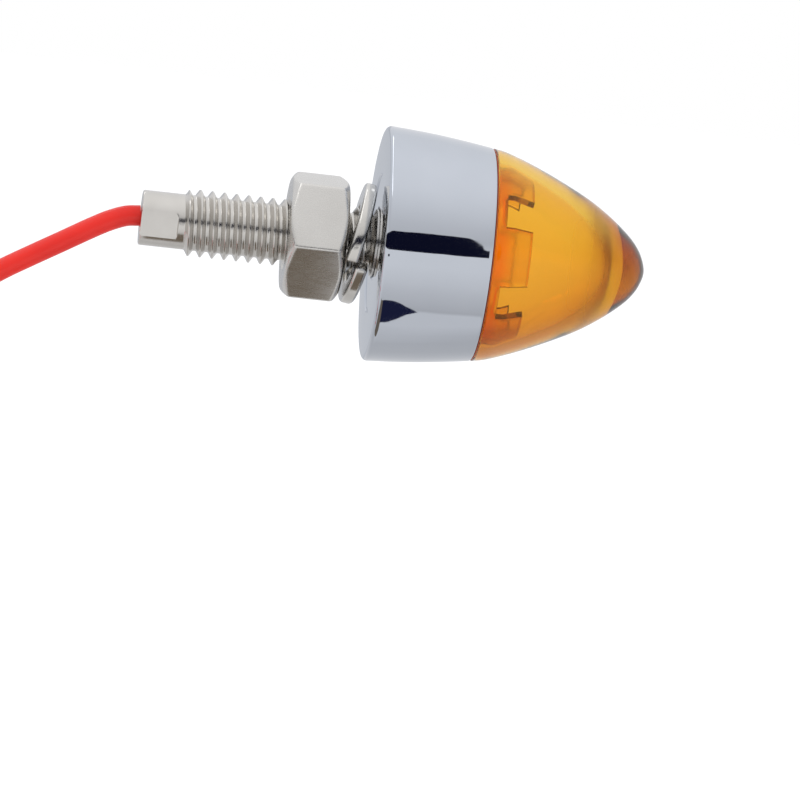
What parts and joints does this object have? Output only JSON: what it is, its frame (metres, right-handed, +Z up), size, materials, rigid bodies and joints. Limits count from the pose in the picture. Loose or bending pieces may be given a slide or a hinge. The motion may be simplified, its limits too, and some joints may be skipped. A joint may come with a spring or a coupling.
{
  "type": "turn signal indicator",
  "caption": "Small bullet turn signal: turned chrome housing, pointed amber lens, hollow threaded stud with hex nut and split lock washer, and a red lead.",
  "frame": {"origin": "centre of the housing's flat back face, where the stud leaves it and the face seats on the bracket", "axes": "+X along the stud axis towards the lens tip, +Z up, so that the loose lead hangs down"},
  "size_m": [0.0904, 0.0274, 0.0917],
  "materials": {
    "chrome_housing": "mirror-polished chrome plate",
    "amber_lens": "clear amber acrylic, polished outside",
    "amber_retainer": "moulded amber polycarbonate, satin",
    "stainless_steel": "turned and tumbled stainless steel, satin",
    "sprung_steel": "bright sprung steel with rolled edges",
    "black_rubber": "moulded rubber",
    "board_laminate": "white solder mask on glass-epoxy laminate",
    "white_nylon": "moulded nylon",
    "bright_reflector": "vacuum-metallised plastic bowl",
    "solder": "bright solder fillet",
    "led_package": "silicone-filled LED package",
    "chip_body": "black moulded chip body",
    "spring_steel": "nickel-plated spring wire",
    "red_pvc": "smooth soft red PVC insulation",
    "bare_copper": "bare stranded copper",
    "tinned_copper": "tinned stranded copper",
    "tie_nylon": "black nylon tie"
  },
  "bodies": {
    "root": {"housing": "chrome_housing", "lens": "amber_lens", "lens_retainer": "amber_retainer", "stud": "stainless_steel", "o_ring": "black_rubber", "reflector": "bright_reflector", "circuit_board": "board_laminate", "board_spacer": "white_nylon", "led_1": "led_package", "led_2": "led_package", "led_3": "led_package", "resistor_1": "chip_body", "resistor_2": "chip_body", "diode": "chip_body", "solder_joint": "solder", "ground_spring": "spring_steel", "inner_grommet": "black_rubber", "wire_sleeve": "black_rubber", "lead_inner": "red_pvc", "lead_core": "bare_copper", "lead_free": "red_pvc", "lead_hank": "red_pvc", "lead_tail": "red_pvc", "lead_tip": "tinned_copper", "lead_tie": "tie_nylon"},
    "washer": {"lock_washer": "sprung_steel"},
    "nut": {"hex_nut": "stainless_steel"}
  },
  "joints": [
    {"name": "washer_slide", "type": "slide", "parent": "root", "child": "washer", "axis": [1, 0, 0], "range_m": [-0.01694, 0]},
    {"name": "nut_turn", "type": "hinge", "parent": "washer", "child": "nut", "pos_m": [-0.00702, 0, 0], "axis": [1, 0, 0], "range_deg": [-4320, 0]}
  ],
  "couplings": [
    {"joint": "washer_slide", "follows": "nut_turn", "m_per_rad": 0.00022459}
  ]
}
